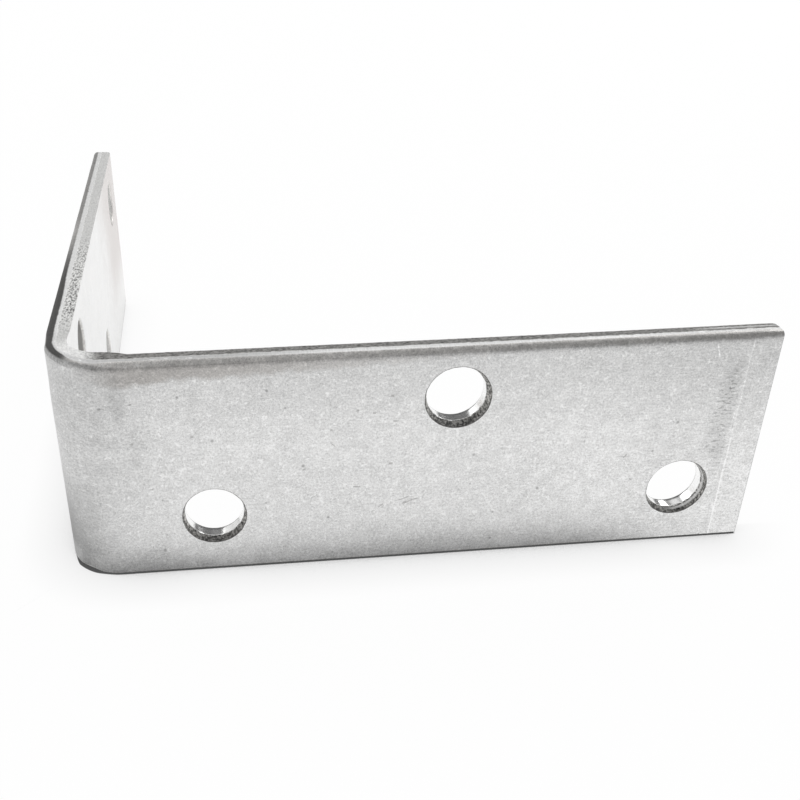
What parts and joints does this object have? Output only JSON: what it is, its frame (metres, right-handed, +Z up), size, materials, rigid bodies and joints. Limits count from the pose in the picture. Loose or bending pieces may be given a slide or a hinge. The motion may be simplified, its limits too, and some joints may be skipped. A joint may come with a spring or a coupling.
{
  "type": "angle bracket",
  "caption": "Right-angled bracket folded from one narrow strip of galvanised steel, with plain screw holes in a zigzag along both legs.",
  "frame": {"origin": "under the middle of the bracket's box, on the surface that it stands on", "axes": "+Z up across the strip's width, +X along the front leg, +Y along the side leg; the outer faces look towards -Y and -X"},
  "size_m": [0.06, 0.06, 0.0203],
  "materials": {
    "galvanised_steel": "matt galvanised sheet with a fine grain, bright burnished cut edges and dark broken edges"
  },
  "bodies": {
    "root": {"angle_bracket": "galvanised_steel"}
  },
  "joints": []
}
